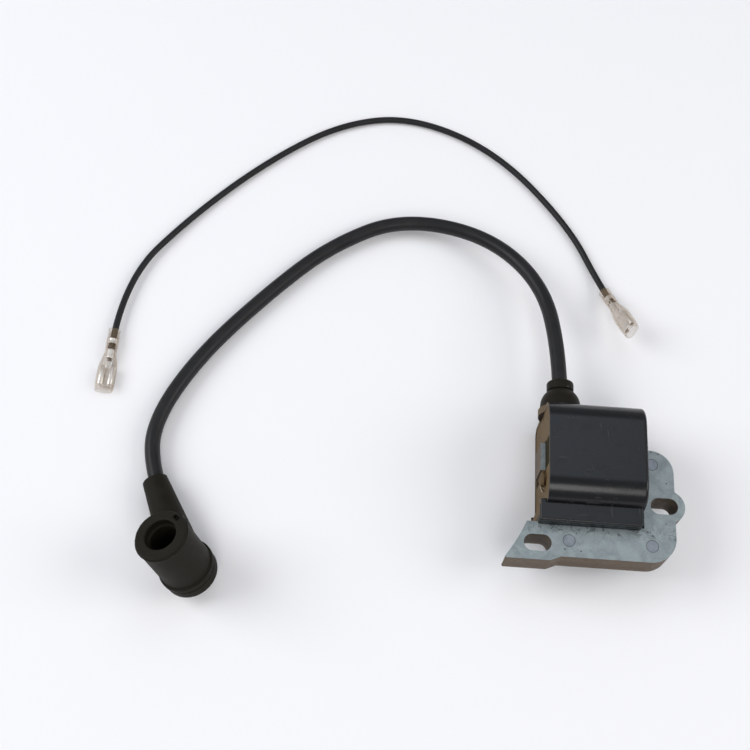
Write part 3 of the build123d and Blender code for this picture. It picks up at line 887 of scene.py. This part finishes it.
@dataclass
class PlugBoot:
    """Elbow boot of the spark plug: a softened copy of the CAD solid, with its spring and pin."""

    voxel_mm: float = 0.22
    smoothing: int = 5

    def build(self) -> bpy.types.Object:
        """Makes the rubber elbow with rounded edges and dresses the metal inside it.

        Returns:
            The boot.
        """
        node = FRAME["nodes"]["plug_boot"]
        piece = bpy.data.objects.new("elbow_boot", node.data.copy())
        bpy.context.collection.objects.link(piece)
        piece.matrix_world = node.matrix_world.copy()
        weld = piece.modifiers.new("weld", "WELD")
        weld.merge_threshold = 0.00001
        remesh = piece.modifiers.new("remesh", "REMESH")
        remesh.mode = "VOXEL"
        remesh.voxel_size = self.voxel_mm * MM
        smooth = piece.modifiers.new("smooth", "SMOOTH")
        smooth.factor = 0.5
        smooth.iterations = self.smoothing
        evaluated = piece.evaluated_get(bpy.context.evaluated_depsgraph_get())
        mesh = bpy.data.meshes.new_from_object(evaluated)
        piece.modifiers.clear()
        mesh.transform(node.matrix_world)
        piece.matrix_world = Matrix.Identity(4)
        piece.data = mesh
        mesh.shade_smooth()
        mesh.materials.clear()
        mesh.materials.append(Rubber("plug_rubber").build())
        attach(piece, "module")
        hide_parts("plug_boot")
        steel = PlatedMetal("spring_steel", (0.52, 0.52, 0.50), (0.30, 0.29, 0.27))
        dress(FRAME["nodes"]["plug_spring"], steel.build())
        dress(FRAME["nodes"]["plug_pin"], steel.build())
        LOG.info("plug boot with %d faces", len(mesh.polygons))
        return piece


@dataclass
class WireEnd:
    """One end of the kill wire: receptacle, bare strands and clear sleeve."""

    letter: str
    top: tuple[float, float, float]
    toward: tuple[float, float, float]
    roll: float = 0.0
    sleeve_l: float = 22.6
    sleeve_in: float = 5.4
    wire_r: float = 1.1
    sheet: float = 0.33
    box_back: float = 2.2
    box_l: float = 6.6
    neck_r: float = 1.9
    wall: float = 0.35

    @property
    def box_z0(self) -> float:
        """Where the box begins, along the sleeve from its wire end."""
        return self.sleeve_l - self.box_back - self.box_l

    def seat(self) -> Seat:
        """Frame at the sleeve's wire end, Z towards the mouth, Y away from the rolled edges."""
        z = np.array(self.toward, float)
        z /= np.linalg.norm(z)
        side = np.cross(z, [0, 0, 1])
        side /= np.linalg.norm(side)
        other = np.cross(z, side)
        a = radians(self.roll)
        return Seat(
            np.array(self.top) - CENTRE, cos(a) * side + sin(a) * other, cos(a) * other - sin(a) * side, z
        )

    def strip(
        self, half: Sequence[tuple[float, float]], z0: float, z1: float, thick: float, steps: int
    ) -> np.ndarray:
        """Rings of a bent sheet strip.

        The outline is the line's points moved half the thickness to each side along their normals.

        Args:
            half: Points of the strip's middle line in X and Y.
            z0: Start along the terminal.
            z1: End along the terminal.
            thick: Sheet thickness.
            steps: Rings along the strip.

        Returns:
            Array of shape (steps, points, 3).
        """
        line = np.array(half, float)
        tangent = np.gradient(line, axis=0)
        tangent /= np.linalg.norm(tangent, axis=1, keepdims=True)
        normal = np.stack([-tangent[:, 1], tangent[:, 0]], axis=1) * thick / 2
        outline = np.concatenate([line + normal, (line - normal)[::-1]])
        z = np.linspace(z0, z1, steps)
        flat = np.broadcast_to(outline, (steps, *outline.shape))
        return np.concatenate([flat, np.broadcast_to(z[:, None, None], (steps, len(outline), 1))], axis=2)

    def rolled_line(self, width: float, height: float) -> np.ndarray:
        """Middle line of the box: a floor with both edges rolled up, over and back down to it.

        Each roll is a circle arc of 290 degrees whose centre stands a radius in from the side.

        Args:
            width: Outside width.
            height: Outside height.

        Returns:
            Points in X and Y, the floor at +Y.
        """
        r = height / 2
        a = np.radians(np.linspace(90, -190, 22))
        right = np.stack([width / 2 - r + r * np.cos(a), r * np.sin(a)], axis=1)
        left = right[::-1] * np.array([-1, 1])
        return np.concatenate([left, right])

    def receptacle(self) -> bpy.types.Object:
        """Tinned receptacle: rolled box with a lance, neck, strand crimp with curled wings, sheath crimp."""
        thick, box_z0 = self.sheet, self.box_z0
        shell = Shell()
        mouth = self.sleeve_l - self.box_back
        shell.add_loft(self.strip(self.rolled_line(5.4 - thick, 2.1 - thick), box_z0, mouth, thick, 3))
        neck = np.stack([np.linspace(-1.0, 1.0, 5), np.full(5, 1.0 - thick / 2)], axis=1)
        shell.add_loft(self.strip(neck, box_z0 - 3.1, box_z0 + 0.2, thick, 4))
        lance = np.stack([np.linspace(-0.45, 0.45, 4), np.full(4, 1.0 - 1.4 * thick)], axis=1)
        rings = self.strip(lance, box_z0 + 1.2, box_z0 + 4.4, thick * 0.8, 6)
        rings[..., 1] -= 0.35 * np.linspace(0, 1, 6)[:, None] ** 2
        shell.add_loft(rings)
        bare = self.wire_r * 0.62 + 0.06 + thick / 2
        whole = self.wire_r + 0.06 + thick / 2
        for z0, length, radius, curl in (
            (box_z0 - 6.4, 3.2, bare, 0.3),
            (self.sleeve_in - 1.9, 1.8, whole, 0.12),
        ):
            for mirror in (1, -1):
                a = np.radians(np.linspace(90, -84, 22))
                ring = np.stack([radius * np.cos(a) * mirror, radius * np.sin(a)], axis=1)
                tuck = np.linspace(0, 1, 6)[:, None] * np.array([[-0.10 * mirror, curl * 1.6]])
                wing = np.concatenate([ring, ring[-1] + tuck[1:]])
                rings = self.strip(wing, z0, z0 + length, thick, 5)
                bell = 1 + 0.07 * np.abs(np.linspace(-1, 1, 5))[:, None, None] ** 3
                rings[..., :2] *= bell
                shell.add_loft(rings)
        bridge = np.stack([np.linspace(-0.7, 0.7, 5), np.full(5, 1.0 - thick / 2)], axis=1)
        rings = self.strip(bridge, self.sleeve_in - 0.5, box_z0 - 6.2, thick, 8)
        rings[..., 1] += 0.36 * (1 - np.linspace(0, 1, 8)[:, None])
        shell.add_loft(rings)
        piece = shell.build(f"receptacle_{self.letter}", self.seat())
        bevel = piece.modifiers.new("soft_edges", "BEVEL")
        bevel.width = 0.00005
        bevel.segments = 2
        piece.data.materials.append(PlatedMetal(f"tin_{self.letter}").build())
        self._fit(piece, f"terminal_{self.letter}", "kill_wire_loose")
        return piece

    def strands(self) -> bpy.types.Object:
        """Bundle of seven bare strands, six turned around the middle one.

        Strand k is turned by 60 k degrees plus the length along it. It runs 0.42 mm from the axis,
        further out in a bulge past the sheath's end, and every second one a little further at its tip.

        Returns:
            The bundle.
        """
        z = np.linspace(self.sleeve_in - 0.3, self.box_z0 - 3.1, 24)
        shell = Shell()
        shell.add_loft(tube_rings(np.stack([0 * z, 0 * z, z], axis=1), 0.22, 8))
        for k in range(6):
            turn = k * pi / 3 + z * 0.55
            bulge = 0.68 * np.exp(-(((z - self.sleeve_in - 0.9) / 0.9) ** 2))
            splay = 0.42 + bulge + 0.1 * (z > z[-1] - 1.0) * (k % 2)
            thick = 0.21 + 0.2 * (splay - 0.42)
            middle = np.stack([splay * np.cos(turn), splay * np.sin(turn), z], axis=1)
            shell.add_loft(tube_rings(middle, thick, 8))
        piece = shell.build(f"bare_strands_{self.letter}", self.seat())
        piece.data.materials.append(
            PlatedMetal(f"copper_{self.letter}", (0.09, 0.085, 0.09), (0.03, 0.028, 0.03), 0.45).build()
        )
        self._fit(piece, f"strands_{self.letter}", "kill_wire_loose")
        return piece

    def sleeve(self) -> bpy.types.Object:
        """Clear sleeve: a round neck that swells to a flat pocket.

        A ring is a rounded square |x/a|^n + |y/b|^n = 1, and a, b and n ease from the neck's to the pocket's.

        Returns:
            The sleeve.
        """
        z = np.concatenate([[0, 0.12, 0.5], np.linspace(1.0, 22.0, 43), [22.3, 22.52, 22.6]])
        t = np.clip((z - 7.6) / 7.4, 0, 1)
        t = t * t * (3 - 2 * t)
        crimp_swell = 0.07 * np.exp(-(((z - 4.6) / 1.8) ** 2))
        flared_lip = 0.05 * np.exp(-((z / 0.4) ** 2))
        drawn_mouth = 0.09 * np.clip((z - 18.5) / 4.1, 0, 1) ** 2
        pinch = 1 + crimp_swell + flared_lip - drawn_mouth
        a = np.linspace(0, 2 * pi, 56, endpoint=False)
        outlines = []
        for grow in (0.0, -self.wall):
            wide = (self.neck_r + 1.3 * t + grow) * pinch
            high = (self.neck_r - 0.1 * t + grow) * pinch
            power = (2.0 / (2.0 + 0.7 * t))[:, None]
            x = wide[:, None] * np.sign(np.cos(a)) * np.abs(np.cos(a)) ** power
            y = high[:, None] * np.sign(np.sin(a)) * np.abs(np.sin(a)) ** power
            outlines.append(np.stack([x, y, np.broadcast_to(z[:, None], x.shape)], axis=2))
        outlines[1][0, :, 2] += 0.05
        outlines[1][-1, :, 2] -= 0.05
        shell = Shell()
        shell.add_wall(np.concatenate([outlines[0], outlines[1][::-1]]))
        piece = shell.build(f"clear_sleeve_{self.letter}", self.seat())
        piece.data.materials.append(ClearSleeve(f"clear_sleeve_{self.letter}").build())
        self._fit(piece, f"sleeve_{self.letter}", f"sleeve_{self.letter}_body")
        return piece

    def _fit(self, piece: bpy.types.Object, node: str, body: str) -> None:
        """Rides a piece on its body in place of its CAD node."""
        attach(piece, body)
        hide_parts(node)

    def build(self) -> list[bpy.types.Object]:
        """Makes the three pieces."""
        made = [self.receptacle(), self.strands(), self.sleeve()]
        LOG.info("wire end %s with %d pieces", self.letter, len(made))
        return made


# ------------------------------------------------------------------ room
@dataclass
class Studio:
    """Floor, soft lights and the camera."""

    eye: tuple[float, float, float] = (-0.07079, -0.13343, 0.36238)
    right: tuple[float, float, float] = (0.99756, 0.06263, 0.03071)
    up: tuple[float, float, float] = (-0.06974, 0.90379, 0.42227)
    lens_mm: float = 56.64
    floor_half: float = 3.0
    floor_drop: float = 0.0002
    world_light: float = 0.35

    def camera(self) -> None:
        """Makes the camera from its place and its axes."""
        data = bpy.data.cameras.new("camera")
        data.lens = self.lens_mm
        data.sensor_width = 36.0
        data.clip_start = 0.01
        camera = bpy.data.objects.new("camera", data)
        bpy.context.collection.objects.link(camera)
        right, up = Vector(self.right).normalized(), Vector(self.up).normalized()
        back = right.cross(up).normalized()
        turn = Matrix((right, up, back)).transposed().to_4x4()
        camera.matrix_world = Matrix.Translation(self.eye) @ turn
        bpy.context.scene.camera = camera

    def lamp(
        self, name: str, place: Sequence[float], aim: Sequence[float], size: float, watts: float, tone: Colour
    ) -> None:
        """Adds a square area light.

        Args:
            name: Name of the light.
            place: Where it stands.
            aim: What it points at.
            size: Side of its square.
            watts: Its power.
            tone: Its colour.
        """
        data = bpy.data.lights.new(name, "AREA")
        data.shape = "SQUARE"
        data.size = size
        data.energy = watts
        data.color = tone
        lamp = bpy.data.objects.new(name, data)
        lamp.location = place
        lamp.rotation_euler = (Vector(aim) - Vector(place)).to_track_quat("-Z", "Y").to_euler()
        bpy.context.collection.objects.link(lamp)

    def build(self) -> None:
        """Makes the floor, the lights, the surroundings and the camera."""
        side = self.floor_half
        corners = np.array([[-side, -side, 0], [side, -side, 0], [side, side, 0], [-side, side, 0]], float)
        corners[:, 2] = -self.floor_drop
        floor = add_mesh("floor", corners, [[0, 1, 2, 3]], False)
        floor.data.materials.append(PaleFloor().build())
        self.lamp("left_soft", (-0.95, 0.1, 0.75), (0.0, 0.05, 0.0), 0.7, 6.6, (0.96, 0.98, 1.0))
        self.lamp("right_soft", (0.95, 0.0, 0.75), (0.0, 0.05, 0.0), 0.7, 5.0, (1.0, 0.98, 0.96))
        self.lamp("camera_side", (0.05, -0.75, 0.95), (0.0, 0.05, 0.0), 0.5, 3.4, (1.0, 0.98, 0.96))
        self.lamp("sky_patch", (0.03, 0.42, 0.85), (0.0, 0.0, 0.0), 0.5, 0.8, (0.78, 0.88, 1.0))
        world = bpy.data.worlds.new("surroundings")
        world.use_nodes = True
        backdrop = world.node_tree.nodes["Background"]
        backdrop.inputs["Color"].default_value = (0.94, 0.96, 1.0, 1.0)
        backdrop.inputs["Strength"].default_value = self.world_light
        bpy.context.scene.world = world
        bpy.context.scene.view_settings.view_transform = "Standard"
        self.camera()
        LOG.info("studio ready")


# ------------------------------------------------------------------ build
LEAD_ROUTE = (
    (6.9, 20.0, 15.0),
    (6.9, 38.4, 15.0),
    (1.7, 67.3, 11.0),
    (-18.0, 87.4, 7.5),
    (-48.3, 93.6, 4.2),
    (-71.9, 81.1, 2.9),
    (-90.0, 63.0, 2.7),
    (-112.5, 35.3, 2.9),
    (-124.8, 9.5, 3.6),
    (-122.78, -8.07, 3.95),
    (-115.22, -23.15, 6.06),
)
WIRE_ROUTE = (
    (-142.86, 36.8, 2.1),
    (-142.6, 62.0, 2.1),
    (-122.5, 90.8, 1.2),
    (-97.3, 117.0, 1.2),
    (-72.0, 135.5, 1.2),
    (-45.7, 140.8, 1.2),
    (-14.1, 127.5, 1.2),
    (12.5, 97.5, 1.2),
    (23.7, 73.0, 1.25),
    (26.51, 65.46, 4.75),
)

FRAME: dict[str, Any] = {}


def main() -> None:
    """Builds every sub-assembly in order."""
    FRAME.update(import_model())
    Studio().build()
    CoreStack().dress()
    case = CoilCase()
    case.dress()
    case.ground_lump()
    case.ground_wire()
    boot = PlugBoot().build()
    FreeCord(
        "lead", "ht_lead", "module", LEAD_ROUTE, 5.0, 255.0, Lie.PLUG, "stiff", ("plug_spring", "plug_pin")
    ).build(LeadJacket("lead_sheath"), [boot])
    ends = [
        WireEnd("a", (-142.8, 42.2, 2.1), (-0.012, -1.0, 0.0)),
        WireEnd("b", (24.8, 70.1, 2.6), (0.316, -0.86, 0.399), roll=240.0),
    ]
    pieces = [piece for end in ends for piece in end.build()]
    FreeCord(
        "loose_wire", "kill_wire", "kill_wire_loose", WIRE_ROUTE, 2.2, 262.2, Lie.CONNECTOR, "medium", ()
    ).build(LeadJacket("wire_sheath", (0.006, 0.006, 0.0065), 0.42), pieces)


if __name__ == "__main__":
    main()
